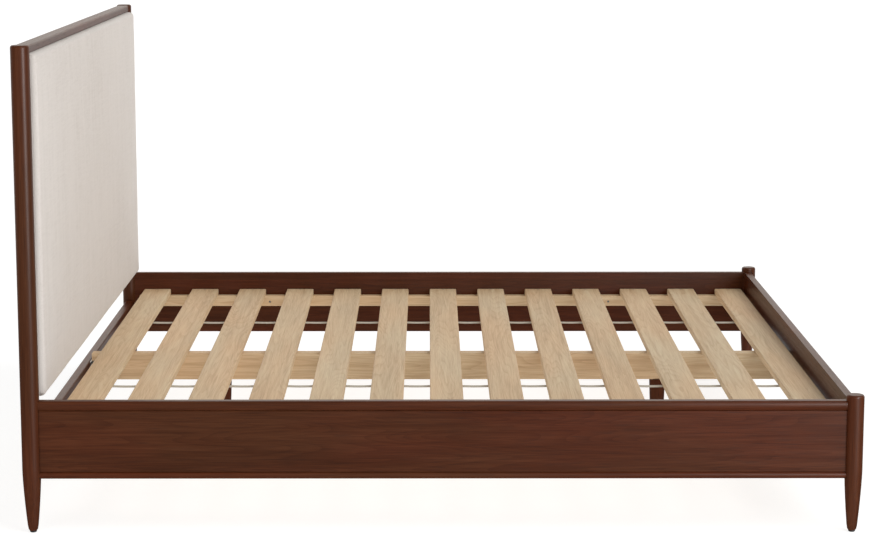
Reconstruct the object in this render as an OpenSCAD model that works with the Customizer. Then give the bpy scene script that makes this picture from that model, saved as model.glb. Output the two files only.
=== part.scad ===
// King-size wooden bed frame with an upholstered headboard panel.
// X runs across the bed, Y along it with the headboard at +Y, Z up from the floor.
// The origin is on the floor, under the middle of the frame's outline.

/* [Posts] */
// Distance between the left and right post axes
post_span_x = 2020; // [1990:5:2060]
// Distance between the head and foot post axes
post_span_y = 2115; // [2100:5:2160]
// Height of the two headboard posts
head_h = 1255; // [1150:5:1400]
// Height of the two foot posts
foot_h = 362; // [355:1:380]
// Diameter of the headboard posts
head_d = 48; // [48:1:56]
// Diameter of the foot posts
foot_d = 46; // [45:1:50]
// Height at which the feet start to taper
taper_h = 165; // [150:1:180]
// Diameter that the taper aims for at the floor
tip_d = 24; // [22:1:28]

/* [Rails] */
// Height of the rails' top edge
rail_top = 346; // [340:1:349]
// Height of the rails' bottom edge
rail_bottom = 142; // [130:1:150]
// Overall thickness of a rail, measured over its beads
rail_t = 25; // [24:1:25]
// How far the beads stand outside the post axes
rail_out = 10; // [8:1:10]
// Height of the bead along the rails' top edge
bead_top_h = 25; // [18:1:26]
// Height of the bead along the rails' bottom edge
bead_bottom_h = 17; // [12:1:18]
// How far the flat of a rail lies behind the crown of its beads
bead_recess = 4; // [3:0.5:5]

/* [Headboard] */
// Height of the headboard's top rail
cap_h = 20; // [18:1:28]
// Depth of the top rail
cap_t = 37; // [34:1:44]
// How far the top rail lies below the posts' tops
cap_drop = 2; // [0:0.5:6]
// Height at which the upholstered panel starts
panel_bottom = 350; // [345:1:400]
// How far the upholstery stands in front of the post axes
panel_front = 40; // [36:1:44]
// Radius of the upholstery's front edges
panel_round = 14; // [8:1:18]

/* [Slat base] */
// Width of a slat
slat_w = 90; // [70:5:100]
// Thickness of a slat
slat_t = 20; // [18:1:22]
// Height of the slats' top face, which carries the mattress
slat_top = 290; // [285:1:300]
// Height of the centre beam's cross-section
beam_h = 80; // [70:5:90]
// Width of the centre beam
beam_w = 40; // [36:1:45]
// Distance between the centre legs
leg_pitch = 650; // [500:10:750]

/* [Hidden] */

// Colours
walnut = [0.33, 0.18, 0.12];
beech = [0.78, 0.62, 0.44];
linen = [0.83, 0.79, 0.75];
foam = [0.9, 0.87, 0.7];
steel = [0.62, 0.63, 0.65];
black = [0.06, 0.06, 0.06];

// Play round a part that sits in another part's hole
play = 0.1;
// A little extra that a cutter takes past a face
over = 1;

// Posts
half_w = post_span_x / 2;
head_r = head_d / 2;
foot_r = foot_d / 2;
// The outline's middle lies on Y = 0: it runs from the foot posts' front to the head posts' back
y_head = (post_span_y - head_r + foot_r) / 2;
y_foot = y_head - post_span_y;
post_round = 6;
tip_r = tip_d / 2;
taper_power = 1.45;
taper_steps = 14;
glide_h = 5;
glide_r = 9;
glide_nail_r = 1.5;
glide_nail_h = 18;
tip_round = 8;

// The flats on the posts, where the rails' square ends stop, measured from the post axes
head_flat = 18;
foot_flat = 16;

// Rails
rail_in = rail_t - rail_out;
core_out = rail_out - bead_recess;
core_top = rail_top - bead_top_h;
core_bottom = rail_bottom + bead_bottom_h;
core_chamfer = 1.5;
bead_crown = 7;
side_len = post_span_y - head_flat - foot_flat;
side_mid = (y_head - head_flat + y_foot + foot_flat) / 2;
foot_len = post_span_x - 2 * foot_flat;

// Headboard
cap_back = 20;
cap_round = 5;
lower_rail_t = 25;
lower_rail_bottom = 150;
lower_rail_top = 250;
lower_rail_ease = 3;
panel_half = half_w - head_r - 1.5;
panel_top = head_h - cap_drop - cap_h - 1;
skin = 1.5;
board_t = 12;
batten_t = 18;
batten_w = 45;
back_t = 3;
// Play between the cover, the board and the frame behind it
panel_play = 0.2;
panel_inset = skin + panel_play;
stile_x = panel_half - panel_inset - batten_w / 2;
frame_z0 = panel_bottom + panel_inset;
frame_z1 = panel_top - panel_inset;

// Dowels: half of each lies in the post and half in the rail
dowel_r = 4;
dowel_len = 46;
cap_dowel_y = [-8, 10];
lower_dowel_z = [172, 200, 228];
foot_dowel_z = [169, 245, 314];
foot_dowel_y = 4;

// Hook plates on the rails' ends and slot plates in the posts
plate_w = 16;
plate_t = 3;
plate_h = 130;
plate_z = 176;
plate_u = -5;
hook_z = [200, 266];
hook_t = 4;
hook_reach = 10.5;
hook_h = 26;
hook_drop = 6;
plate_screw_z = [183, 299];

// Screws: radius of the shank, radius and height of the countersunk head, and lengths
screw_r = 2;
screw_head_r = 3.6;
screw_head_h = 2.2;
slot_screw_len = 16;
hook_screw_len = 28;
hanger_screw_len = 19;
slat_screw_len = 34;
ledger_screw_len = 40;
panel_screw_len = 72;
panel_screw_z = [450, 650, 850, 1050];
ledger_screw_z = 250;

// Slat base; each slat has a node of its own in the list above
slat_count = 13;
slat_bottom = slat_top - slat_t;
slat_half = half_w - rail_in - 5;
ledger_t = 28;
ledger_h = 35;
ledger_len = 2040;
ledger_screw_count = 6;
well_foot = y_foot + rail_in;
well_head = y_head - panel_front;
slat_end_gap = 12;
slat_first = well_foot + slat_end_gap + slat_w / 2;
slat_last = well_head - slat_end_gap - slat_w / 2;
slat_screw_in = 12;
slat_ease = 3;
ledger_ease = 2;
strap_w = 25;
strap_t = 1.5;
strap_x = 480;
strap_end = 10;

// Centre beam and its hangers
beam_bottom = slat_bottom - beam_h;
beam_ease = 3;
hanger_t = 3;
hanger_w = 84;
hanger_reach = 42;
hanger_top = 248;
hanger_screw_x = 33;
hanger_screw_z = [200, 236];
beam_head = y_head - lower_rail_t / 2 - hanger_t - play;
beam_foot = y_foot + rail_in + hanger_t + play;

// Centre legs with their levellers
leg_bottom = 30;
leg_r_top = 24;
leg_r_bottom = 18;
bolt_r = 4;
bolt_half = 35;
insert_r = 6.5;
insert_h = 16;
insert_flange_r = 10;
insert_flange_h = 1.5;
thread_r = 4;
thread_play = 0.05;
stem_top = 72;
stem_neck_r = 3;
stem_hole_top = 92;
nut_r = 8;
nut_z = 12;
nut_h = 5;
ball_r = 4.6;
ball_z = 6.5;
ball_play = 0.35;
pad_r = 17;
pad_h = 9.5;
leg_y = [leg_pitch, 0, -leg_pitch];

// Radius of a post at height z: a bullet taper that runs out into the straight shaft
function taper(z, r) = r - (r - tip_r) * pow(1 - z / taper_h, taper_power);

// Half outline of a post, from its glide face to its crown
function post_outline(r, h) = concat(
    [[0, glide_h], [taper(glide_h, r) - 3, glide_h], [taper(tip_round, r) - 1, tip_round]],
    [for (i = [1 : taper_steps]) let (z = tip_round + (taper_h - tip_round) * i / taper_steps)
        [taper(z, r), z]],
    [for (a = [0 : 22.5 : 90]) [r - post_round + post_round * cos(a), h - post_round + post_round * sin(a)]],
    [[0, h]]
);

// Half-round bead from z0 to z1; its crown is at rail_out and its flat back at -rail_in
function bead_outline(z0, z1) = concat(
    [[-rail_in, z0], [-rail_in, z1]],
    [for (a = [90 : -15 : -90])
        [rail_out - bead_crown + bead_crown * cos(a), (z0 + z1) / 2 + (z1 - z0) / 2 * sin(a)]]
);

// Cross-section of a board with eased edges, centred on the origin
function board_outline(w, t, ease) = [
    for (c = [[1, 1, 0], [-1, 1, 90], [-1, -1, 180], [1, -1, 270]]) for (a = [0 : 30 : 90])
        [c[0] * (w / 2 - ease) + ease * cos(a + c[2]), c[1] * (t / 2 - ease) + ease * sin(a + c[2])]
];

function core_outline() = [
    [-rail_in, core_bottom], [-rail_in, core_top], [core_out - core_chamfer, core_top],
    [core_out, core_top - core_chamfer], [core_out, core_bottom + core_chamfer],
    [core_out - core_chamfer, core_bottom]
];

function ledger_screw_y(i) = (i / (ledger_screw_count - 1) - 0.5) * (ledger_len - 120);

function slat_y(i) = slat_first + (slat_last - slat_first) * (i - 1) / (slat_count - 1);

// Extrudes an outline of (outward, up) points along Y, centred on Y = 0
module along_y(len) {
    rotate([90, 0, 0]) translate([0, 0, -len / 2]) linear_extrude(len) children();
}

// Extrudes an outline of (forward, up) points along X, centred on X = 0
module along_x(len) {
    rotate([90, 0, 90]) translate([0, 0, -len / 2]) linear_extrude(len) children();
}

// Puts what is drawn for the right side of the bed on side s
module on_side(s) {
    mirror([s < 0 ? 1 : 0, 0, 0]) children();
}

// Puts a side rail's cross-section in its place
module side_rail_place(s) {
    on_side(s) translate([half_w, side_mid, 0]) children();
}

// Turns a length drawn along Y, facing outward to +X, into the foot rail's direction
module foot_rail_place() {
    translate([0, y_foot, 0]) rotate([0, 0, -90]) children();
}

// Corner of a side rail: X outward, Y into the post, starting at the post's flat
module corner(s, e) {
    translate([s * half_w, e > 0 ? y_head - head_flat : y_foot + foot_flat, 0])
        mirror([s < 0 ? 1 : 0, 0, 0]) mirror([0, e < 0 ? 1 : 0, 0]) children();
}

module each_corner() {
    for (s = [-1, 1]) for (e = [-1, 1]) corner(s, e) children();
}

// A countersunk screw whose head lies flush at the origin and whose tip points along -Z
module screw(len, extra = 0) {
    translate([0, 0, -len - extra]) cylinder(r = screw_r + extra, h = len + extra, $fn = 24);
    translate([0, 0, -screw_head_h - extra])
        cylinder(r1 = screw_r + extra, r2 = screw_head_r + extra, h = screw_head_h + extra, $fn = 24);
}

// A dowel along X, centred on the origin
module dowel(extra = 0) {
    rotate([0, 90, 0]) cylinder(r = dowel_r + extra, h = dowel_len + 2 * extra, center = true, $fn = 24);
}

// ---- Fasteners, drawn once and cut out of the parts they join -------------------------------

module dowels_shape(extra = 0) {
    for (s = [-1, 1]) {
        for (y = cap_dowel_y)
            translate([s * (half_w - head_r), y_head + y, head_h - cap_drop - cap_h / 2]) dowel(extra);
        for (z = lower_dowel_z)
            translate([s * (half_w - head_r), y_head, z]) dowel(extra);
        for (z = foot_dowel_z)
            translate([s * (half_w - foot_flat - 2), y_foot + foot_dowel_y, z]) dowel(extra);
    }
}

module panel_screws_shape(extra = 0) {
    for (s = [-1, 1]) for (z = panel_screw_z)
        translate([s * (stile_x - batten_w / 2), y_head + batten_t / 2, z])
            rotate([0, s * -90, 0]) screw(panel_screw_len, extra);
}

module ledger_screws_shape(s, extra = 0) {
    on_side(s) for (i = [0 : ledger_screw_count - 1])
        translate([half_w - rail_in - ledger_t, ledger_screw_y(i), ledger_screw_z])
            rotate([0, -90, 0]) screw(ledger_screw_len, extra);
}

// Screws that hold a slot plate, with their heads towards the rail
module slot_plate_screws(extra = 0) {
    for (z = plate_screw_z) translate([plate_u, 0, z]) rotate([90, 0, 0]) screw(slot_screw_len, extra);
}

// Screws that hold a hook plate, with their heads towards the post
module hook_plate_screws(extra = 0) {
    for (z = plate_screw_z) translate([plate_u, 0, z]) rotate([-90, 0, 0]) screw(hook_screw_len, extra);
}

module hanger_screws(e, extra = 0) {
    y = e > 0 ? beam_head + play : beam_foot - play;
    for (x = [-hanger_screw_x, hanger_screw_x]) for (z = hanger_screw_z)
        translate([x, y, z]) rotate([e > 0 ? 90 : -90, 0, 0]) screw(hanger_screw_len, extra);
}

module slat_screws(i, extra = 0) {
    for (s = [-1, 1]) translate([s * (slat_half - slat_screw_in), slat_y(i), slat_top])
        screw(slat_screw_len, extra);
}

// ---- Posts ----------------------------------------------------------------------------------

module post(r, h) {
    rotate_extrude($fn = 96) polygon(post_outline(r, h));
}

module glide_nail(extra = 0) {
    translate([0, 0, glide_h - over])
        cylinder(r = glide_nail_r + extra, h = glide_nail_h + over + extra, $fn = 24);
}

// Flat that a side rail's end sits against, with the slot plate's recess and the hook mortises
module corner_cut(r) {
    translate([-rail_in - play, -2 * r, rail_bottom - play])
        cube([rail_t + 2 * play, 2 * r, rail_top - rail_bottom + 2 * play]);
    translate([plate_u - plate_w / 2 - play, -over, plate_z - play])
        cube([plate_w + 2 * play, plate_t + play + over, plate_h + 2 * play]);
    for (z = hook_z) translate([plate_u - hook_t / 2 - 1, -over, z - hook_drop - 2])
        cube([hook_t + 2, hook_reach + 1.5 + over, hook_h + hook_drop + 8]);
    slot_plate_screws(play);
}

module head_post(s) {
    color(walnut) difference() {
        translate([s * half_w, y_head, 0]) post(head_r, head_h);
        corner(s, 1) corner_cut(head_r);
        translate([s * half_w, y_head, 0]) glide_nail(play);
        dowels_shape(play);
        panel_screws_shape(play);
    }
}

module foot_post(s) {
    color(walnut) difference() {
        translate([s * half_w, y_foot, 0]) post(foot_r, foot_h);
        corner(s, -1) corner_cut(foot_r);
        foot_rail_place() translate([-rail_in - play, -half_w + foot_flat, rail_bottom - play])
            cube([rail_t + 2 * play, foot_len, rail_top - rail_bottom + 2 * play]);
        translate([s * half_w, y_foot, 0]) glide_nail(play);
        dowels_shape(play);
    }
}

module glide() {
    rotate_extrude($fn = 48) polygon([
        [0, 0], [glide_r - 3, 0], [glide_r - 1, 1], [glide_r, 3], [glide_r, glide_h], [0, glide_h]
    ]);
    glide_nail();
}

module floor_glides() {
    color(black) for (s = [-1, 1]) for (y = [y_head, y_foot]) translate([s * half_w, y, 0]) glide();
}

// ---- Headboard ------------------------------------------------------------------------------

// Cross-section of the top rail: flat below and behind, rounded along both top edges
function cap_outline() = concat(
    [[-cap_back, 0], [cap_t - cap_back, 0]],
    [for (a = [0 : 15 : 90])
        [cap_t - cap_back - cap_round + cap_round * cos(a), cap_h - cap_round + cap_round * sin(a)]],
    [for (a = [90 : 15 : 180])
        [-cap_back + cap_round + cap_round * cos(a), cap_h - cap_round + cap_round * sin(a)]]
);

// Removes the round posts' own room from a rail that is scribed to them
module post_clearance() {
    for (s = [-1, 1]) translate([s * half_w, y_head, 0])
        cylinder(r = head_r + play / 2, h = head_h + over, $fn = 96);
}

module head_top_rail() {
    color(walnut) difference() {
        translate([0, y_head, head_h - cap_drop - cap_h]) rotate([0, 0, -90])
            along_y(2 * half_w) polygon(cap_outline());
        post_clearance();
        dowels_shape(play);
    }
}

module head_lower_rail() {
    color(walnut) difference() {
        translate([0, y_head, (lower_rail_bottom + lower_rail_top) / 2]) along_x(2 * half_w)
            polygon(board_outline(lower_rail_t, lower_rail_top - lower_rail_bottom, lower_rail_ease));
        post_clearance();
        dowels_shape(play);
        hanger_screws(1, play);
    }
}

// Pad with rounded front edges, between the planes y0 and y1 in front of the post axes
function pad_outline(half, y0, y1, r) = concat(
    [[half, -y0], [-half, -y0]],
    [for (a = [180 : 15 : 270]) [-half + r + r * cos(a), -y1 + r + r * sin(a)]],
    [for (a = [270 : 15 : 360]) [half - r + r * cos(a), -y1 + r + r * sin(a)]]
);

module pad(half, z0, z1, y0, y1, r) {
    zm = (z0 + z1) / 2;
    translate([0, y_head, 0]) intersection() {
        translate([0, 0, z0]) linear_extrude(z1 - z0) polygon(pad_outline(half, y0, y1, r));
        translate([0, 0, zm]) rotate([0, -90, 0]) translate([0, 0, -half])
            linear_extrude(2 * half) polygon(pad_outline((z1 - z0) / 2, y0, y1, r));
    }
}

module panel_board() {
    color(beech) translate([-panel_half + panel_inset, y_head - board_t, frame_z0])
        cube([2 * (panel_half - panel_inset), board_t, frame_z1 - frame_z0]);
}

module panel_foam() {
    color(foam)
        pad(panel_half - panel_inset, frame_z0, frame_z1, board_t, panel_front - panel_inset, panel_round);
}

module panel_cover() {
    color(linen) difference() {
        pad(panel_half, panel_bottom, panel_top, 0, panel_front, panel_round + skin);
        translate([0, over, 0])
            pad(panel_half - skin, panel_bottom + skin, panel_top - skin,
                0, panel_front - skin + over, panel_round);
    }
}

// One upright of the frame behind the board, centred on x
module stile(x, z0, z1) {
    translate([x - batten_w / 2, y_head, z0]) cube([batten_w, batten_t, z1 - z0]);
}

module panel_stile(s) {
    color(beech) difference() {
        stile(s * stile_x, frame_z0, frame_z1);
        panel_screws_shape(play);
    }
}

module panel_stile_centre() {
    color(beech) stile(0, frame_z0 + batten_w, frame_z1 - batten_w);
}

module panel_batten(z) {
    half = stile_x - batten_w / 2;
    color(beech) translate([-half, y_head, z]) cube([2 * half, batten_t, batten_w]);
}

module panel_back() {
    half = stile_x + batten_w / 2;
    color(linen) translate([-half, y_head + batten_t, frame_z0])
        cube([2 * half, back_t, frame_z1 - frame_z0]);
}

module panel_screws() {
    color(steel) panel_screws_shape();
}

module wooden_dowels() {
    color(beech) dowels_shape();
}

// ---- Rails ----------------------------------------------------------------------------------

module side_rail(s) {
    color(walnut) difference() {
        side_rail_place(s) along_y(side_len) polygon(core_outline());
        for (e = [-1, 1]) corner(s, e) {
            translate([plate_u - plate_w / 2 - play, -plate_t - play, plate_z - play])
                cube([plate_w + 2 * play, plate_t + play + over, plate_h + 2 * play]);
            hook_plate_screws(play);
        }
        ledger_screws_shape(s, play);
    }
}

module side_bead(s, z0, z1) {
    color(walnut) side_rail_place(s) along_y(side_len) polygon(bead_outline(z0, z1));
}

module foot_rail() {
    color(walnut) difference() {
        foot_rail_place() along_y(foot_len) polygon(core_outline());
        dowels_shape(play);
        hanger_screws(-1, play);
    }
}

module foot_bead(z0, z1) {
    color(walnut) foot_rail_place() along_y(foot_len) polygon(bead_outline(z0, z1));
}

// ---- Knock-down fittings --------------------------------------------------------------------

module hook() {
    rotate([90, 0, 90]) linear_extrude(hook_t, center = true) polygon([
        [-over, 0], [plate_t + 1, 0], [plate_t + 1, -hook_drop], [hook_reach, -hook_drop],
        [hook_reach, hook_h - 6], [hook_reach - 6, hook_h], [-over, hook_h]
    ]);
}

module hook_plates() {
    color(steel) each_corner() {
        difference() {
            translate([plate_u - plate_w / 2, -plate_t, plate_z]) cube([plate_w, plate_t, plate_h]);
            hook_plate_screws(play);
        }
        for (z = hook_z) translate([plate_u, 0, z]) hook();
    }
}

module slot_plates() {
    color(steel) each_corner() difference() {
        translate([plate_u - plate_w / 2, 0, plate_z]) cube([plate_w, plate_t, plate_h]);
        for (z = hook_z) translate([plate_u - hook_t / 2 - 0.5, -over, z - hook_drop - 1])
            cube([hook_t + 1, plate_t + 2 * over, hook_h + hook_drop + 4]);
        slot_plate_screws(play);
    }
}

module wood_screws() {
    color(steel) {
        each_corner() {
            slot_plate_screws();
            hook_plate_screws();
        }
        for (e = [-1, 1]) hanger_screws(e);
        for (i = [1 : slat_count]) slat_screws(i);
    }
}

module ledger_screws() {
    color(steel) for (s = [-1, 1]) ledger_screws_shape(s);
}

// ---- Slat base ------------------------------------------------------------------------------

module ledger(s) {
    color(beech) difference() {
        on_side(s) translate([half_w - rail_in - ledger_t / 2, 0, slat_bottom - ledger_h / 2])
            along_y(ledger_len) polygon(board_outline(ledger_t, ledger_h, ledger_ease));
        ledger_screws_shape(s, play);
        for (i = [1 : slat_count]) slat_screws(i, play);
    }
}

module slat(i) {
    color(beech) difference() {
        translate([0, slat_y(i), slat_bottom + slat_t / 2])
            along_x(2 * slat_half) polygon(board_outline(slat_w, slat_t, slat_ease));
        slat_screws(i, play);
    }
}

// Webbing under the slats, which keeps them at their spacing
module slat_straps() {
    color(linen) for (s = [-1, 1])
        translate([s * strap_x - strap_w / 2, slat_first - slat_w / 2 + strap_end, slat_bottom - strap_t])
            cube([strap_w, slat_last - slat_first + slat_w - 2 * strap_end, strap_t]);
}

module centre_beam() {
    color(beech) difference() {
        translate([0, (beam_head + beam_foot) / 2, beam_bottom + beam_h / 2])
            along_y(beam_head - beam_foot) polygon(board_outline(beam_w, beam_h, beam_ease));
        for (y = leg_y) translate([0, y, 0]) leg_bolt(play);
    }
}

// Steel stirrup for one end of the beam
module beam_hanger(e) {
    y_wall = e > 0 ? beam_head + hanger_t + play : beam_foot - hanger_t - play;
    side = beam_w / 2 + play;
    color(steel) difference() {
        translate([0, y_wall, 0]) mirror([0, e > 0 ? 0 : 1, 0]) {
            translate([-hanger_w / 2, -hanger_t, beam_bottom - hanger_t])
                cube([hanger_w, hanger_t, hanger_top - beam_bottom + hanger_t]);
            translate([-side - hanger_t, -hanger_reach, beam_bottom - hanger_t])
                cube([2 * (side + hanger_t), hanger_reach, hanger_t]);
            for (x = [-side - hanger_t, side]) translate([x, -hanger_reach, beam_bottom - hanger_t])
                cube([hanger_t, hanger_reach, hanger_top - beam_bottom + hanger_t]);
        }
        hanger_screws(e, play);
    }
}

module beam_hangers() {
    for (e = [-1, 1]) beam_hanger(e);
}

// ---- Centre legs and levellers --------------------------------------------------------------

module leg_bolt(extra = 0) {
    translate([0, 0, beam_bottom - bolt_half - extra])
        cylinder(r = bolt_r + extra, h = 2 * (bolt_half + extra), $fn = 32);
}

module centre_leg(y) {
    color(walnut) translate([0, y, 0]) difference() {
        translate([0, 0, leg_bottom])
            cylinder(r1 = leg_r_bottom, r2 = leg_r_top, h = beam_bottom - leg_bottom, $fn = 64);
        leg_bolt(play);
        translate([0, 0, leg_bottom - over])
            cylinder(r = insert_r + play, h = insert_h + over + play, $fn = 32);
        cylinder(r = thread_r + 1, h = stem_hole_top, $fn = 32);
    }
}

module leg_bolts() {
    color(steel) for (y = leg_y) translate([0, y, 0]) leg_bolt();
}

module leg_inserts() {
    color(steel) for (y = leg_y) translate([0, y, 0]) difference() {
        union() {
            translate([0, 0, leg_bottom]) cylinder(r = insert_r, h = insert_h, $fn = 32);
            translate([0, 0, leg_bottom - insert_flange_h])
                cylinder(r = insert_flange_r, h = insert_flange_h, $fn = 32);
        }
        cylinder(r = thread_r + thread_play, h = leg_bottom + insert_h + over, $fn = 32);
    }
}

module leveller_stem(y) {
    color(steel) translate([0, y, 0]) {
        translate([0, 0, ball_z]) sphere(r = ball_r, $fn = 32);
        translate([0, 0, ball_z]) cylinder(r = stem_neck_r, h = nut_z - ball_z, $fn = 32);
        translate([0, 0, nut_z]) cylinder(r = nut_r, h = nut_h, $fn = 6);
        translate([0, 0, nut_z + nut_h]) cylinder(r = thread_r, h = stem_top - nut_z - nut_h, $fn = 32);
    }
}

module leveller_pad(y) {
    color(black) translate([0, y, 0]) difference() {
        rotate_extrude($fn = 64) polygon([
            [0, 0], [pad_r - 1, 0], [pad_r, 1], [pad_r, 3.5], [9, pad_h], [0, pad_h]
        ]);
        translate([0, 0, ball_z]) sphere(r = ball_r + ball_play, $fn = 32);
        translate([0, 0, ball_z]) cylinder(r = stem_neck_r + 1, h = pad_h, $fn = 32);
    }
}

// ---- Nodes ----------------------------------------------------------------------------------

head_post(-1);  // head_post_left
head_post(1);  // head_post_right
foot_post(-1);  // foot_post_left
foot_post(1);  // foot_post_right
floor_glides();
head_top_rail();
head_lower_rail();
panel_board();
panel_foam();
panel_cover();
panel_stile(-1);  // panel_stile_left
panel_stile(1);  // panel_stile_right
panel_stile_centre();
panel_batten(frame_z1 - batten_w);  // panel_batten_top
panel_batten(frame_z0);  // panel_batten_bottom
panel_back();
panel_screws();
wooden_dowels();
foot_rail();
foot_bead(core_top, rail_top);  // foot_bead_top
foot_bead(rail_bottom, core_bottom);  // foot_bead_bottom
side_rail(-1);  // side_rail_left
side_rail(1);  // side_rail_right
side_bead(-1, core_top, rail_top);  // side_bead_top_left
side_bead(1, core_top, rail_top);  // side_bead_top_right
side_bead(-1, rail_bottom, core_bottom);  // side_bead_bottom_left
side_bead(1, rail_bottom, core_bottom);  // side_bead_bottom_right
ledger(-1);  // ledger_left
ledger(1);  // ledger_right
ledger_screws();
hook_plates();
slot_plates();
wood_screws();
centre_beam();
beam_hangers();
centre_leg(leg_y[0]);  // centre_leg_head
centre_leg(leg_y[1]);  // centre_leg_middle
centre_leg(leg_y[2]);  // centre_leg_foot
leg_bolts();
leg_inserts();
leveller_stem(leg_y[0]);  // leveller_stem_head
leveller_stem(leg_y[1]);  // leveller_stem_middle
leveller_stem(leg_y[2]);  // leveller_stem_foot
leveller_pad(leg_y[0]);  // leveller_pad_head
leveller_pad(leg_y[1]);  // leveller_pad_middle
leveller_pad(leg_y[2]);  // leveller_pad_foot
slat_straps();
slat(1);  // slat_01
slat(2);  // slat_02
slat(3);  // slat_03
slat(4);  // slat_04
slat(5);  // slat_05
slat(6);  // slat_06
slat(7);  // slat_07
slat(8);  // slat_08
slat(9);  // slat_09
slat(10);  // slat_10
slat(11);  // slat_11
slat(12);  // slat_12
slat(13);  // slat_13
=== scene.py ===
"""Looks of the wooden bed frame: stained wood, linen upholstery, webbing, plated steel, light and camera."""
import math
import random

import bmesh
import bpy
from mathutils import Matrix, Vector, noise

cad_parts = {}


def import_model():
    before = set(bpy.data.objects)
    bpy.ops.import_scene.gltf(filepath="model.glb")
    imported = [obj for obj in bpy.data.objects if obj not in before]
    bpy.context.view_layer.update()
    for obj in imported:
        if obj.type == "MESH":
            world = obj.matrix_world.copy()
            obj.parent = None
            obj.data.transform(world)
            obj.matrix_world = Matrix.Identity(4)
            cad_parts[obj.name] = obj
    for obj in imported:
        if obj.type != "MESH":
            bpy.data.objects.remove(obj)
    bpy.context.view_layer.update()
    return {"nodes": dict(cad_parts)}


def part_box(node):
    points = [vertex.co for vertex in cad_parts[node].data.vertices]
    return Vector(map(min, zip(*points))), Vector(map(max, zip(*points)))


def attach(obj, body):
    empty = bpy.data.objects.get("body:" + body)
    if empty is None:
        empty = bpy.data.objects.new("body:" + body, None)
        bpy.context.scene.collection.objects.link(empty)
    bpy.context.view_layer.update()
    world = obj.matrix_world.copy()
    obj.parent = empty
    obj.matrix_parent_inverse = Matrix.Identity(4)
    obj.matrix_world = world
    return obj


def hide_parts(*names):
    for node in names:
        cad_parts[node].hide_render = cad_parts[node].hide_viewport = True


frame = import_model()
BODY = "frame"
MM = 0.001

# ---- What the frame says ---------------------------------------------------------------------

cover_lo, cover_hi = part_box("panel_cover")
board_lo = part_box("panel_board")[0]
strap_lo, strap_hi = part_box("slat_straps")
SLATS = sorted(n for n in frame["nodes"] if n.startswith("slat_") and n[-2:].isdigit())


# ---- Node helpers ----------------------------------------------------------------------------

def start_material(name):
    """A material with a Principled shader; returns it, its tree and the shader."""
    material = bpy.data.materials.new(name)
    material.use_nodes = True
    tree = material.node_tree
    tree.nodes.clear()
    output = tree.nodes.new("ShaderNodeOutputMaterial")
    shader = tree.nodes.new("ShaderNodeBsdfPrincipled")
    tree.links.new(shader.outputs["BSDF"], output.inputs["Surface"])
    return material, tree, shader


def add(tree, kind, inputs=None, **settings):
    """Adds a node; inputs maps socket names to values or to sockets to link from."""
    node = tree.nodes.new(kind)
    for key, value in settings.items():
        setattr(node, key, value)
    for key, value in (inputs or {}).items():
        if isinstance(value, bpy.types.NodeSocket):
            tree.links.new(value, node.inputs[key])
        else:
            node.inputs[key].default_value = value
    return node


def maths(tree, operation, a, b=0.0, clamp=False):
    node = add(tree, "ShaderNodeMath", operation=operation, use_clamp=clamp)
    for socket, value in zip(node.inputs, (a, b)):
        if isinstance(value, bpy.types.NodeSocket):
            tree.links.new(value, socket)
        else:
            socket.default_value = value
    return node.outputs[0]


def weighted(tree, *terms):
    """Sum of (socket, weight) pairs, each taken about its middle value of a half, plus a half."""
    total = 0.5
    for socket, weight in terms:
        about_middle = maths(tree, "SUBTRACT", socket, 0.5)
        total = maths(tree, "ADD", total, maths(tree, "MULTIPLY", about_middle, weight))
    return total


def ramp(tree, factor, stops):
    """A colour ramp from (position, linear colour) stops."""
    node = add(tree, "ShaderNodeValToRGB", {"Fac": factor})
    elements = node.color_ramp.elements
    elements[0].position, elements[0].color = stops[0][0], (*stops[0][1], 1)
    elements[1].position, elements[1].color = stops[-1][0], (*stops[-1][1], 1)
    for position, colour in stops[1:-1]:
        elements.new(position).color = (*colour, 1)
    return node.outputs["Color"]


def mix(tree, factor, a, b, blend="MIX"):
    node = add(tree, "ShaderNodeMix", data_type="RGBA", blend_type=blend, clamp_factor=True)
    for index, value in ((0, factor), (6, a), (7, b)):
        if isinstance(value, bpy.types.NodeSocket):
            tree.links.new(value, node.inputs[index])
        else:
            node.inputs[index].default_value = value if index == 0 else (*value, 1)
    return node.outputs[2]


def place(tree, scale=(1, 1, 1), offset=(0, 0, 0), turn=(0, 0, 0)):
    """Object coordinates, in metres, moved, turned and scaled."""
    coordinates = add(tree, "ShaderNodeTexCoord").outputs["Object"]
    node = add(tree, "ShaderNodeMapping", {"Vector": coordinates, "Location": offset, "Rotation": turn,
                                          "Scale": scale})
    return node.outputs["Vector"]


def cloudy(tree, vector, scale, detail=3.0, roughness=0.55):
    return add(tree, "ShaderNodeTexNoise", {"Vector": vector, "Scale": scale, "Detail": detail,
                                            "Roughness": roughness}).outputs["Fac"]


def edge_mask(tree, soft_normal):
    """1 along edges, 0 on the flats between them."""
    normal = add(tree, "ShaderNodeNewGeometry").outputs["Normal"]
    dot = add(tree, "ShaderNodeVectorMath", {0: soft_normal, 1: normal},
              operation="DOT_PRODUCT").outputs["Value"]
    return maths(tree, "MULTIPLY", maths(tree, "SUBTRACT", 1.0, dot), 3.0, clamp=True)


def eased_normal(tree, radius):
    return add(tree, "ShaderNodeBevel", {"Radius": radius}, samples=4).outputs["Normal"]


def bump(tree, height, strength, distance, normal=None):
    inputs = {"Height": height, "Strength": strength, "Distance": distance}
    if normal is not None:
        inputs["Normal"] = normal
    return add(tree, "ShaderNodeBump", inputs).outputs["Normal"]


# ---- Wood ------------------------------------------------------------------------------------

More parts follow.
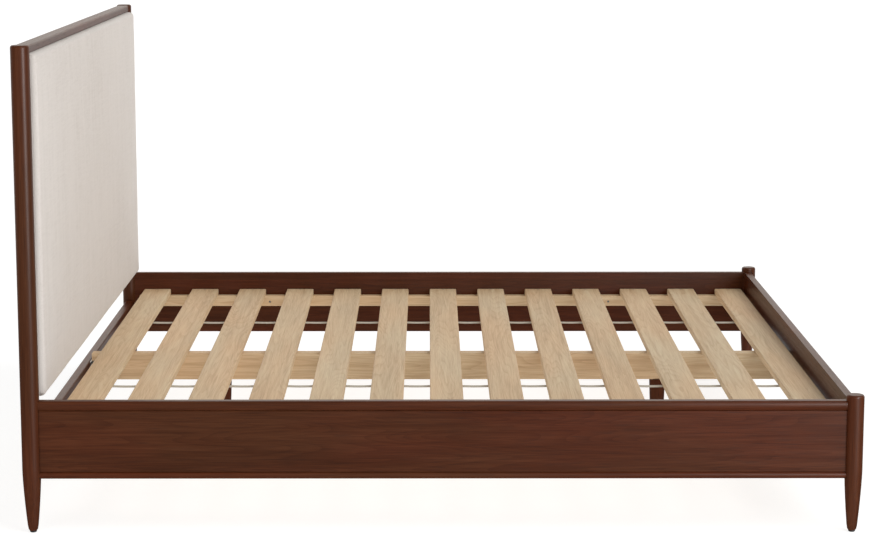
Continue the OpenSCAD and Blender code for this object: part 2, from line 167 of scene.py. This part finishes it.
STAIN = {
    "tones": [(0.0, (0.043, 0.0098, 0.0029)), (0.34, (0.068, 0.0168, 0.0051)), (0.5, (0.081, 0.0208, 0.0064)),
              (0.68, (0.096, 0.0262, 0.0086)), (1.0, (0.126, 0.0375, 0.0140))],
    "warm": (1.10, 0.93, 0.86), "cool": (0.93, 1.05, 1.02), "pore": (0.022, 0.0068, 0.0026),
    "rubbed": (0.150, 0.0560, 0.0240),
    "roughness": 0.36, "specular": 0.20, "contrast": 0.9, "pore_depth": 0.6,
}
PALE = {
    "tones": [(0.0, (0.44, 0.290, 0.160)), (0.34, (0.58, 0.410, 0.245)), (0.5, (0.65, 0.480, 0.300)),
              (0.68, (0.70, 0.540, 0.350)), (1.0, (0.78, 0.640, 0.450))],
    "warm": (1.04, 0.98, 0.93), "cool": (0.97, 1.01, 1.03), "pore": (0.30, 0.185, 0.095),
    "rubbed": (0.80, 0.67, 0.49),
    "roughness": 0.56, "specular": 0.30, "contrast": 0.95, "pore_depth": 0.25,
}


# How many growth layers the noise's whole range is cut into, and how many they wander by
LAYER_COUNT = 26.0
LAYER_WANDER = 5.0


def wood(name, axis, seed, finish, figure=1.0, edge_radius=1.6 * MM):
    """Wood with its grain along one axis: flat-sawn figure, streaks, fibres, pores and rubbed edges."""
    material, tree, shader = start_material(name)
    rng = random.Random(seed)
    shift = [rng.uniform(-4, 4) for _ in range(3)]
    tilt = [rng.uniform(-0.015, 0.015) for _ in range(3)]

    def along(stretch):
        return place(tree, tuple(stretch if a == axis else 1.0 for a in "XYZ"), shift, tilt)

    # Growth layers, drawn out along the grain and cut through at a shallow angle
    wander = cloudy(tree, along(0.10), 7.0, 2.0)
    layer_noise = add(tree, "ShaderNodeTexNoise",
                      {"Vector": along(0.055), "Scale": 16.0, "Detail": 1.0, "Roughness": 0.4,
                       "Distortion": 0.35}).outputs["Fac"]
    layers = maths(tree, "ADD", maths(tree, "MULTIPLY", layer_noise, LAYER_COUNT),
                   maths(tree, "MULTIPLY", wander, LAYER_WANDER))
    rings = maths(tree, "FRACT", layers)
    late_wood = maths(tree, "POWER", rings, 3.0)
    streaks = cloudy(tree, along(0.035), 70.0, 3.0)
    fibres = cloudy(tree, along(0.022), 420.0, 3.0, 0.6)
    tint = cloudy(tree, along(0.22), 6.0, 2.0)
    pores = cloudy(tree, along(0.012), 1100.0, 1.0, 0.5)

    strength = finish["contrast"]
    tone = weighted(tree, (streaks, 0.80 * strength), (fibres, 0.80 * strength), (wander, 0.55 * strength))
    tone = maths(tree, "SUBTRACT", tone, maths(tree, "MULTIPLY", late_wood, 0.20 * figure * strength))
    colour = ramp(tree, tone, finish["tones"])
    tints = ramp(tree, tint, [(0.35, finish["cool"]), (0.65, finish["warm"])])
    colour = mix(tree, 1.0, colour, tints, "MULTIPLY")
    pore_mask = maths(tree, "MULTIPLY", maths(tree, "SUBTRACT", 0.42, pores), 6.0, clamp=True)
    colour = mix(tree, maths(tree, "MULTIPLY", pore_mask, finish["pore_depth"]), colour, finish["pore"])

    soft = eased_normal(tree, edge_radius)
    rubbed = maths(tree, "MULTIPLY", edge_mask(tree, soft), maths(tree, "MULTIPLY", streaks, 0.7))
    colour = mix(tree, rubbed, colour, finish["rubbed"])
    tree.links.new(colour, shader.inputs["Base Color"])

    gloss = maths(tree, "ADD", maths(tree, "MULTIPLY", streaks, 0.10), finish["roughness"] - 0.05)
    gloss = maths(tree, "ADD", gloss, maths(tree, "MULTIPLY", pore_mask, 0.10))
    tree.links.new(gloss, shader.inputs["Roughness"])
    height = maths(tree, "SUBTRACT", maths(tree, "MULTIPLY", fibres, 0.4), pore_mask)
    tree.links.new(bump(tree, height, 0.16, 0.2 * MM, soft), shader.inputs["Normal"])
    shader.inputs["Specular IOR Level"].default_value = finish["specular"]
    return material


# ---- Cloth -----------------------------------------------------------------------------------

def threads(tree, pitch, across, along):
    """One set of parallel threads: their round backs, and slubs that thicken them here and there."""
    wave = add(tree, "ShaderNodeTexWave",
               {"Vector": place(tree), "Scale": math.pi / pitch / 10, "Distortion": 0.6, "Detail": 2.0,
                "Detail Scale": 3.0},
               wave_type="BANDS", bands_direction=across, wave_profile="SIN").outputs["Fac"]
    stretch = tuple(0.05 if a == along else 1.0 for a in "XYZ")
    slubs = cloudy(tree, place(tree, stretch), 260.0, 2.0)
    return wave, slubs


def linen(name, base, shade, pitch=1.3 * MM, weave=0.55, sheen=0.25):
    """Plain-woven linen: warp and weft with slubs, faint streaks down the warp, painted shade in the hollows
    between threads and a soft sheen.
    """
    material, tree, shader = start_material(name)
    warp, warp_slubs = threads(tree, pitch, "X", "Z")
    weft, weft_slubs = threads(tree, pitch, "Z", "X")
    streaks = cloudy(tree, place(tree, (1, 1, 0.06)), 38.0, 3.0)
    fading = cloudy(tree, place(tree), 2.5, 3.0)
    tone = weighted(tree, (warp_slubs, 0.5), (weft_slubs, 0.45), (streaks, 0.3), (fading, 0.35))
    light = tuple(min(1, c * 1.06) for c in base)
    colour = ramp(tree, tone, [(0.25, shade), (0.5, base), (0.75, light)])
    grid = maths(tree, "MULTIPLY", maths(tree, "ADD", warp, weft), 0.5)
    # Painted shade: the colour darkens towards the shade tone where the threads dip, in the hollows of the
    # weave
    colour = mix(tree, maths(tree, "MULTIPLY", maths(tree, "SUBTRACT", 1.0, grid), 0.25), colour, shade)
    tree.links.new(colour, shader.inputs["Base Color"])
    height = maths(tree, "ADD", grid, maths(tree, "ADD", warp_slubs, weft_slubs))
    tree.links.new(bump(tree, height, weave, 0.5 * MM), shader.inputs["Normal"])
    shader.inputs["Roughness"].default_value = 0.92
    shader.inputs["Sheen Weight"].default_value = sheen
    shader.inputs["Sheen Roughness"].default_value = 0.5
    shader.inputs["Specular IOR Level"].default_value = 0.2
    return material


def webbing(name):
    """Flat woven webbing: a twill face over ribs that run across it."""
    material, tree, shader = start_material(name)
    twill = add(tree, "ShaderNodeTexWave",
                {"Vector": place(tree, turn=(0, 0, math.radians(45))), "Scale": 120.0, "Distortion": 0.8},
                wave_type="BANDS", bands_direction="X").outputs["Fac"]
    ribs = add(tree, "ShaderNodeTexWave", {"Vector": place(tree), "Scale": 150.0},
               wave_type="BANDS", bands_direction="Y").outputs["Fac"]
    fuzz = cloudy(tree, place(tree, (1, 0.2, 1)), 700.0, 2.0)
    tone = weighted(tree, (twill, 0.5), (fuzz, 0.6))
    colour = ramp(tree, tone, [(0.2, (0.40, 0.36, 0.29)), (0.8, (0.64, 0.59, 0.50))])
    tree.links.new(colour, shader.inputs["Base Color"])
    tree.links.new(bump(tree, maths(tree, "ADD", twill, ribs), 0.6, 0.3 * MM), shader.inputs["Normal"])
    shader.inputs["Roughness"].default_value = 0.85
    shader.inputs["Sheen Weight"].default_value = 0.15
    return material


# ---- Metal and plastic -----------------------------------------------------------------------

def plated_steel(name):
    """Zinc-plated steel: a fine brushed grain, cloudy spangle and scuffed edges."""
    material, tree, shader = start_material(name)
    brushed = cloudy(tree, place(tree, (1, 1, 0.03)), 900.0, 2.0)
    spangle = add(tree, "ShaderNodeTexVoronoi", {"Vector": place(tree), "Scale": 220.0}).outputs["Distance"]
    cloud = cloudy(tree, place(tree), 40.0, 4.0)
    tone = maths(tree, "ADD", maths(tree, "MULTIPLY", cloud, 0.6), maths(tree, "MULTIPLY", spangle, 0.5))
    colour = ramp(tree, tone, [(0.2, (0.40, 0.41, 0.43)), (0.8, (0.66, 0.66, 0.65))])
    soft = eased_normal(tree, 0.6 * MM)
    colour = mix(tree, maths(tree, "MULTIPLY", edge_mask(tree, soft), 0.5), colour, (0.8, 0.8, 0.8))
    tree.links.new(colour, shader.inputs["Base Color"])
    gloss = maths(tree, "ADD", maths(tree, "MULTIPLY", brushed, 0.25), 0.22)
    tree.links.new(gloss, shader.inputs["Roughness"])
    tree.links.new(bump(tree, brushed, 0.12, 0.1 * MM, soft), shader.inputs["Normal"])
    shader.inputs["Metallic"].default_value = 1.0
    return material


def moulded_plastic(name):
    """Black nylon with a fine spark-eroded grain and greyer scuffs on its edges."""
    material, tree, shader = start_material(name)
    grain = cloudy(tree, place(tree), 1500.0, 2.0)
    scuff = cloudy(tree, place(tree), 120.0, 4.0)
    colour = ramp(tree, scuff, [(0.35, (0.010, 0.010, 0.011)), (0.75, (0.030, 0.029, 0.028))])
    soft = eased_normal(tree, 0.6 * MM)
    colour = mix(tree, maths(tree, "MULTIPLY", edge_mask(tree, soft), 0.3), colour, (0.09, 0.088, 0.085))
    tree.links.new(colour, shader.inputs["Base Color"])
    tree.links.new(maths(tree, "ADD", maths(tree, "MULTIPLY", scuff, 0.2), 0.42), shader.inputs["Roughness"])
    tree.links.new(bump(tree, grain, 0.3, 0.15 * MM, soft), shader.inputs["Normal"])
    return material


LINEN = linen("linen_cover", (0.753, 0.706, 0.669), (0.659, 0.609, 0.567))
LINING = linen("lining_cloth", (0.46, 0.43, 0.38), (0.36, 0.33, 0.29), pitch=2 * MM, sheen=0.1)
WEBBING = webbing("strap_webbing")
STEEL = plated_steel("plated_steel")
PLASTIC = moulded_plastic("black_nylon")

# Stained pieces with their grain's axis and how much figure they show
STAINED = [
    ("head_post_left", "Z", 0.5), ("head_post_right", "Z", 0.5), ("foot_post_left", "Z", 0.5),
    ("foot_post_right", "Z", 0.5), ("head_top_rail", "X", 0.5), ("head_lower_rail", "X", 1.0),
    ("foot_rail", "X", 1.0), ("foot_bead_top", "X", 0.5), ("foot_bead_bottom", "X", 0.5),
    ("side_rail_left", "Y", 1.0), ("side_rail_right", "Y", 1.0), ("side_bead_top_left", "Y", 0.5),
    ("side_bead_top_right", "Y", 0.5), ("side_bead_bottom_left", "Y", 0.5),
    ("side_bead_bottom_right", "Y", 0.5),
    ("centre_leg_head", "Z", 0.6), ("centre_leg_middle", "Z", 0.6), ("centre_leg_foot", "Z", 0.6),
]
UNSTAINED = [
    ("panel_board", "X"), ("panel_stile_left", "Z"), ("panel_stile_right", "Z"), ("panel_stile_centre", "Z"),
    ("panel_batten_top", "X"), ("panel_batten_bottom", "X"), ("wooden_dowels", "X"), ("ledger_left", "Y"),
    ("ledger_right", "Y"), ("centre_beam", "Y"),
] + [(node, "X") for node in SLATS]
STEEL_NODES = [
    "panel_screws", "ledger_screws", "hook_plates", "slot_plates", "wood_screws", "beam_hangers", "leg_bolts",
    "leg_inserts", "leveller_stem_head", "leveller_stem_middle", "leveller_stem_foot",
]
PLASTIC_NODES = ["floor_glides", "leveller_pad_head", "leveller_pad_middle", "leveller_pad_foot"]


def dress(node, material):
    """Gives a CAD node one material."""
    slots = frame["nodes"][node].data.materials
    slots.clear()
    slots.append(material)


def dress_frame():
    for seed, (node, axis, figure) in enumerate(STAINED):
        dress(node, wood("stain_" + node, axis, 11 + seed, STAIN, figure))
    for seed, (node, axis) in enumerate(UNSTAINED):
        dress(node, wood("pale_" + node, axis, 101 + seed, PALE))
    for node in STEEL_NODES:
        dress(node, STEEL)
    for node in PLASTIC_NODES:
        dress(node, PLASTIC)
    dress("panel_back", LINING)


# ---- Upholstery ------------------------------------------------------------------------------

EDGE_RADIUS = 15 * MM
CELL = 18 * MM
CROWN = 5 * MM
FOAM_SINK = 3 * MM


def mesh_object(name, bm, material):
    mesh = bpy.data.meshes.new(name)
    bm.to_mesh(mesh)
    bm.free()
    obj = bpy.data.objects.new(name, mesh)
    bpy.context.scene.collection.objects.link(obj)
    mesh.materials.append(material)
    return obj


def apply_modifiers(obj):
    """Replaces the object's mesh by its evaluated one and drops its modifiers."""
    graph = bpy.context.evaluated_depsgraph_get()
    mesh = bpy.data.meshes.new_from_object(obj.evaluated_get(graph))
    obj.modifiers.clear()
    obj.data = mesh


def slice_evenly(bm, axis, low, high, cell):
    """Cuts the mesh across one axis into even strips about a cell wide."""
    count = round((high - low) / cell)
    normal = Vector([1.0 if i == axis else 0.0 for i in range(3)])
    for i in range(1, count):
        everything = bm.verts[:] + bm.edges[:] + bm.faces[:]
        point = normal * (low + (high - low) * i / count)
        bmesh.ops.bisect_plane(bm, geom=everything, plane_co=point, plane_no=normal, dist=1e-5)


def panel_blank(cell):
    """The pad before its cover is stretched: a slab with soft front edges and corners."""
    low = Vector((cover_lo.x, cover_lo.y + FOAM_SINK, cover_lo.z))
    high = cover_hi.copy()
    bm = bmesh.new()
    bmesh.ops.create_cube(bm, size=1)
    for vert in bm.verts:
        vert.co = (low + high) / 2 + Vector(c * s for c, s in zip(vert.co, high - low))
    middle = (low.y + high.y) / 2
    soft_edges = [e for e in bm.edges if any(v.co.y < middle for v in e.verts)]
    bmesh.ops.bevel(bm, geom=soft_edges, offset=EDGE_RADIUS, segments=6, profile=0.5, affect="EDGES")
    slice_evenly(bm, 0, low.x + EDGE_RADIUS, high.x - EDGE_RADIUS, cell)
    slice_evenly(bm, 2, low.z + EDGE_RADIUS, high.z - EDGE_RADIUS, cell)
    slice_evenly(bm, 1, low.y + EDGE_RADIUS, high.y, cell / 3)
    return mesh_object("headboard_cover", bm, LINEN)


SIMULATION_STEPS = 20


def inflate(obj, pinned, pressure, cap):
    """Cloth simulation under inner pressure; its movement is scaled down so that none exceeds cap."""
    rest = [v.co.copy() for v in obj.data.vertices]
    group = obj.vertex_groups.new(name="pinned")
    group.add([i for i, co in enumerate(rest) if pinned(co)], 1.0, "REPLACE")
    settings = obj.modifiers.new("cloth", "CLOTH").settings
    settings.quality = 4
    settings.mass = 0.3
    settings.tension_stiffness = 15
    settings.compression_stiffness = 15
    settings.shear_stiffness = 5
    settings.bending_stiffness = 0.5
    settings.use_pressure = True
    settings.uniform_pressure_force = pressure
    settings.vertex_group_mass = "pinned"
    settings.effector_weights.gravity = 0
    for step in range(1, SIMULATION_STEPS + 1):
        bpy.context.scene.frame_set(step)
    apply_modifiers(obj)
    bpy.context.scene.frame_set(1)
    obj.vertex_groups.clear()
    moves = [vert.co - start for vert, start in zip(obj.data.vertices, rest)]
    share = min(1.0, cap / max(move.length for move in moves))
    for vert, start, move in zip(obj.data.vertices, rest, moves):
        vert.co = start + move * share


def tuck_in(obj, margin):
    """Keeps the pad between the posts and under the top rail, where it presses against them."""
    for vert in obj.data.vertices:
        vert.co.x = min(max(vert.co.x, cover_lo.x - margin), cover_hi.x + margin)
        vert.co.z = min(max(vert.co.z, cover_lo.z - margin), cover_hi.z + margin)
        vert.co.y = min(vert.co.y, cover_hi.y)


def pull_marks(obj):
    """Shallow unevenness of cloth stretched over foam: slow waves, and short pulls near the edges."""
    middle = (cover_lo + cover_hi) / 2
    half = (cover_hi - cover_lo) / 2
    for vert in obj.data.vertices:
        if vert.co.y > board_lo.y:
            continue
        side = min(half.x - abs(vert.co.x - middle.x), half.z - abs(vert.co.z - middle.z))
        edge = math.exp(-max(side, 0) / (60 * MM))
        slow = noise.noise(vert.co * 5.0)
        fast = noise.noise(Vector((vert.co.x * 22, vert.co.y * 4, vert.co.z * 22)))
        vert.co.y += (0.8 * slow + 0.8 * edge * fast) * MM


def headboard_cover():
    cover = panel_blank(CELL)
    hold = board_lo.y
    inflate(cover, lambda co: co.y > hold, pressure=4, cap=CROWN)
    cover.modifiers.new("subdivision", "SUBSURF").render_levels = 1
    cover.modifiers["subdivision"].levels = 1
    apply_modifiers(cover)
    tuck_in(cover, 0.5 * MM)
    pull_marks(cover)
    for polygon in cover.data.polygons:
        polygon.use_smooth = True
    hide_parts("panel_cover", "panel_foam")
    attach(cover, BODY)


# ---- Slat straps -----------------------------------------------------------------------------

STRAP_SAG = 0.8 * MM
STRAP_THICK = 1.2 * MM
STRAP_WIDTH = 25 * MM


def strap_line():
    """Points (y, z) of a strap's upper face: flat under each slat, sagging a little between slats."""
    spans = [(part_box(n)[0].y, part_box(n)[1].y) for n in SLATS]
    top = strap_hi.z - 0.05 * MM
    spans[0] = (strap_lo.y, spans[0][1])
    spans[-1] = (spans[-1][0], strap_hi.y)
    line = []
    for (start, end), following in zip(spans, spans[1:] + [None]):
        line += [(start + (end - start) * i / 4, top) for i in range(5)]
        if following:
            gap = following[0] - end
            line += [(end + gap * i / 8, top - STRAP_SAG * math.sin(math.pi * i / 8)) for i in range(1, 8)]
    return line


def strap(name, centre_x, width):
    """A length of webbing with a slightly domed underside and soft selvedges."""
    bm = bmesh.new()
    rings = []
    for y, z in strap_line():
        wander = 0.6 * MM * noise.noise(Vector((centre_x, y * 6, 0)))
        profile = [(-0.5, -0.15), (-0.48, 0), (0.48, 0), (0.5, -0.15), (0.5, -0.85), (0.47, -1), (0.25, -1.1),
                   (0, -1.15), (-0.25, -1.1), (-0.47, -1), (-0.5, -0.85)]
        rings.append([bm.verts.new((centre_x + wander + u * width, y, z + v * STRAP_THICK))
                      for u, v in profile])
    for a, b in zip(rings, rings[1:]):
        for i in range(len(a)):
            j = (i + 1) % len(a)
            bm.faces.new((a[i], a[j], b[j], b[i]))
    bm.faces.new(rings[0])
    bm.faces.new(list(reversed(rings[-1])))
    bmesh.ops.recalc_face_normals(bm, faces=bm.faces)
    obj = mesh_object(name, bm, WEBBING)
    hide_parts("slat_straps")
    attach(obj, BODY)


def slat_strap_pair():
    strap("slat_strap_left", strap_lo.x + STRAP_WIDTH / 2, STRAP_WIDTH)
    strap("slat_strap_right", strap_hi.x - STRAP_WIDTH / 2, STRAP_WIDTH)


# ---- Stage -----------------------------------------------------------------------------------

def brighter_behind(tree, along_x, near, far):
    """A strength that rises along X between two (place, strength) pairs, for what gloss reflects."""
    ranged = add(tree, "ShaderNodeMapRange", {"Value": along_x, "From Min": near[0], "From Max": far[0],
                                              "To Min": near[1], "To Max": far[1]},
                 interpolation_type="SMOOTHSTEP")
    return ranged.outputs["Result"]


def x_of(tree, vector):
    return add(tree, "ShaderNodeSeparateXYZ", {"Vector": vector}).outputs["X"]


def floor():
    """A white floor with soft shadows; in reflections it is dark towards -X and bright towards +X."""
    bm = bmesh.new()
    bmesh.ops.create_grid(bm, x_segments=1, y_segments=1, size=120)
    material, tree, shader = start_material("studio_floor")
    speck = cloudy(tree, place(tree), 3.0, 2.0)
    tree.links.new(ramp(tree, speck, [(0.3, (0.42, 0.42, 0.42)), (0.7, (0.43, 0.43, 0.43))]),
                   shader.inputs["Base Color"])
    shader.inputs["Roughness"].default_value = 0.9
    shader.inputs["Specular IOR Level"].default_value = 0.0
    shader.inputs["Emission Color"].default_value = (1, 1, 1, 1)
    shader.inputs["Emission Strength"].default_value = 0.77
    reach = brighter_behind(tree, x_of(tree, place(tree)), (-0.5, 0.07), (2.5, 0.75))
    reflected = add(tree, "ShaderNodeEmission", {"Color": (1, 0.98, 0.96, 1), "Strength": reach})
    path = add(tree, "ShaderNodeLightPath")
    both = add(tree, "ShaderNodeMixShader", {0: path.outputs["Is Glossy Ray"], 1: shader.outputs[0],
                                             2: reflected.outputs[0]})
    output = next(n for n in tree.nodes if n.type == "OUTPUT_MATERIAL")
    tree.links.new(both.outputs[0], output.inputs["Surface"])
    # Rays that find the floor by themselves know whether they are reflections; sampled light doesn't
    material.cycles.emission_sampling = "NONE"
    mesh_object("studio_floor", bm, material)


def world():
    """White to the camera, dimmer as light; in reflections it is bright only towards +X."""
    studio = bpy.data.worlds.new("studio")
    bpy.context.scene.world = studio
    studio.use_nodes = True
    tree = studio.node_tree
    tree.nodes.clear()
    output = add(tree, "ShaderNodeOutputWorld")
    seen = add(tree, "ShaderNodeBackground", {"Color": (1, 1, 1, 1), "Strength": 1.0})
    light = add(tree, "ShaderNodeBackground", {"Color": (1, 0.99, 0.975, 1), "Strength": 0.48})
    direction = add(tree, "ShaderNodeTexCoord").outputs["Generated"]
    reach = brighter_behind(tree, x_of(tree, direction), (0.1, 0.16), (0.9, 1.25))
    reflected = add(tree, "ShaderNodeBackground", {"Color": (1, 0.95, 0.89, 1), "Strength": reach})
    path = add(tree, "ShaderNodeLightPath")
    unseen = add(tree, "ShaderNodeMixShader", {0: path.outputs["Is Glossy Ray"], 1: light.outputs[0],
                                               2: reflected.outputs[0]})
    both = add(tree, "ShaderNodeMixShader", {0: path.outputs["Is Camera Ray"], 1: unseen.outputs[0],
                                             2: seen.outputs[0]})
    tree.links.new(both.outputs[0], output.inputs["Surface"])
    studio.cycles.sampling_method = "NONE"


def sun(name, towards, strength, angle, colour=(1, 1, 1)):
    data = bpy.data.lights.new(name, "SUN")
    data.energy = strength
    data.angle = math.radians(angle)
    data.color = colour
    obj = bpy.data.objects.new(name, data)
    obj.rotation_euler = Vector(towards).to_track_quat("Z", "Y").to_euler()
    bpy.context.scene.collection.objects.link(obj)


def softbox(name, position, target, width, height, power, gleams):
    """A rectangular light out of the camera's sight, which either gleams in gloss or lights what is matt."""
    data = bpy.data.lights.new(name, "AREA")
    data.shape = "RECTANGLE"
    data.size = width
    data.size_y = height
    data.energy = power
    obj = bpy.data.objects.new(name, data)
    obj.location = position
    obj.rotation_euler = (Vector(position) - Vector(target)).to_track_quat("Z", "Y").to_euler()
    obj.visible_camera = False
    obj.visible_glossy = gleams
    obj.visible_diffuse = not gleams
    bpy.context.scene.collection.objects.link(obj)


def lights():
    sun("key", (-0.40, -0.75, 1.0), 1.10, 40, (1.0, 0.985, 0.96))
    softbox("gleam_box", (-4.6, -2.8, 1.25), (-1.0, 0.4, 0.7), 1.7, 1.7, 235, gleams=True)
    softbox("side_fill", (-4.6, -2.8, 1.15), (-1.0, 0.4, 0.7), 1.7, 1.7, 28, gleams=False)
    softbox("head_fill", (-4.6, 2.4, 1.15), (-1.0, -0.2, 0.5), 1.7, 1.7, 27, gleams=False)
    softbox("foot_fill", (-1.45, -1.25, 0.35), (-1.0, -1.0, 0.22), 0.3, 0.3, 0.8, gleams=False)


CAMERA_PLACE = (-6.834, 0.036, 1.646)
CAMERA_YAW = math.radians(-0.15)
CAMERA_PITCH = math.radians(9.33)
CAMERA_LENS = 96.36


def camera():
    """A long lens at standing height, square to the bed's left side."""
    data = bpy.data.cameras.new("camera")
    data.sensor_width = 36
    data.lens = CAMERA_LENS
    data.clip_end = 500
    obj = bpy.data.objects.new("camera", data)
    level = math.cos(CAMERA_PITCH)
    forward = Vector((level * math.cos(CAMERA_YAW), level * math.sin(CAMERA_YAW), -math.sin(CAMERA_PITCH)))
    obj.rotation_euler = forward.to_track_quat("-Z", "Y").to_euler()
    obj.location = CAMERA_PLACE
    bpy.context.scene.collection.objects.link(obj)
    bpy.context.scene.camera = obj


camera()
dress_frame()
headboard_cover()
slat_strap_pair()
floor()
world()
lights()
bpy.context.scene.view_settings.view_transform = "Standard"
